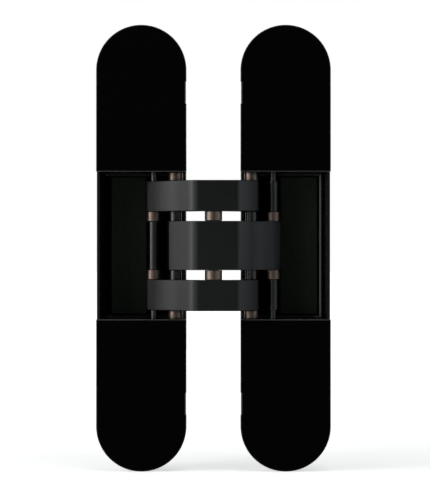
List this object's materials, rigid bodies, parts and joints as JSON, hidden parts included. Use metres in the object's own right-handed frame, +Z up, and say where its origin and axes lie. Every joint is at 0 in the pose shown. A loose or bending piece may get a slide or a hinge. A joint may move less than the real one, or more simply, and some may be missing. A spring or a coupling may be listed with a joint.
{
  "type": "concealed door hinge",
  "caption": "Concealed hinge for a wooden door, opened flat: two mortised cups joined by crossed arms on a centre pin, with clip-on covers.",
  "frame": {"origin": "middle of the frame cup's two fixing holes, on the plane where its flange seats in the mortise", "axes": "+X from the frame cup to the door cup, +Y into the wood, +Z up along the pins"},
  "size_m": [0.0624, 0.0279, 0.1188],
  "materials": {
    "cover_black": "matt black",
    "cup_black": "matt black powder coat on cast metal",
    "bearing_black": "matt black coat",
    "arm_graphite": "satin dark graphite coat",
    "bush_bronze": "oiled sintered bronze",
    "pin_steel": "darkened ground steel",
    "screw_steel": "zinc plated steel",
    "shoe_polymer": "self-lubricating dark polymer"
  },
  "bodies": {
    "frame_side": {"frame_cup": "cup_black", "frame_upper_cover": "cover_black", "frame_lower_cover": "cover_black", "frame_upper_bearing": "bearing_black", "frame_lower_bearing": "bearing_black", "frame_clamp_screws": "screw_steel", "frame_adjusting_screws": "screw_steel", "frame_pivot_pin": "pin_steel", "frame_pivot_bushes": "bush_bronze", "frame_pivot_tubes": "pin_steel"},
    "centre_link": {"centre_arm": "arm_graphite", "door_slider_pin": "pin_steel", "door_slider_bushes": "bush_bronze", "door_slider_tubes": "pin_steel", "door_slide_shoes": "shoe_polymer"},
    "side_links": {"upper_side_arm": "arm_graphite", "lower_side_arm": "arm_graphite", "centre_pin": "pin_steel", "centre_bushes": "bush_bronze", "frame_slider_pin": "pin_steel", "frame_slider_bushes": "bush_bronze", "frame_slider_tube": "pin_steel", "frame_slide_shoes": "shoe_polymer", "door_pivot_tube": "pin_steel"},
    "door_side": {"door_cup": "cup_black", "door_upper_cover": "cover_black", "door_lower_cover": "cover_black", "door_upper_bearing": "bearing_black", "door_lower_bearing": "bearing_black", "door_clamp_screws": "screw_steel", "door_adjusting_screws": "screw_steel", "door_pivot_pin": "pin_steel", "door_pivot_bushes": "bush_bronze"}
  },
  "joints": [
    {"name": "frame_pivot", "type": "hinge", "parent": "frame_side", "child": "centre_link", "pos_m": [0.009, -0.005, 0], "axis": [0, 0, -1], "range_deg": [0, 108.54]},
    {"name": "centre_pivot", "type": "hinge", "parent": "centre_link", "child": "side_links", "pos_m": [0.0192, -0.0134, 0], "axis": [0, 0, -1], "range_deg": [-37.08, 0]},
    {"name": "door_pivot", "type": "hinge", "parent": "side_links", "child": "door_side", "pos_m": [0.0294, -0.005, 0], "axis": [0, 0, -1], "range_deg": [0, 108.54]}
  ],
  "couplings": [
    {"joint": "centre_pivot", "follows": "frame_pivot", "ratio": -0.3416},
    {"joint": "door_pivot", "follows": "frame_pivot", "ratio": 1}
  ]
}
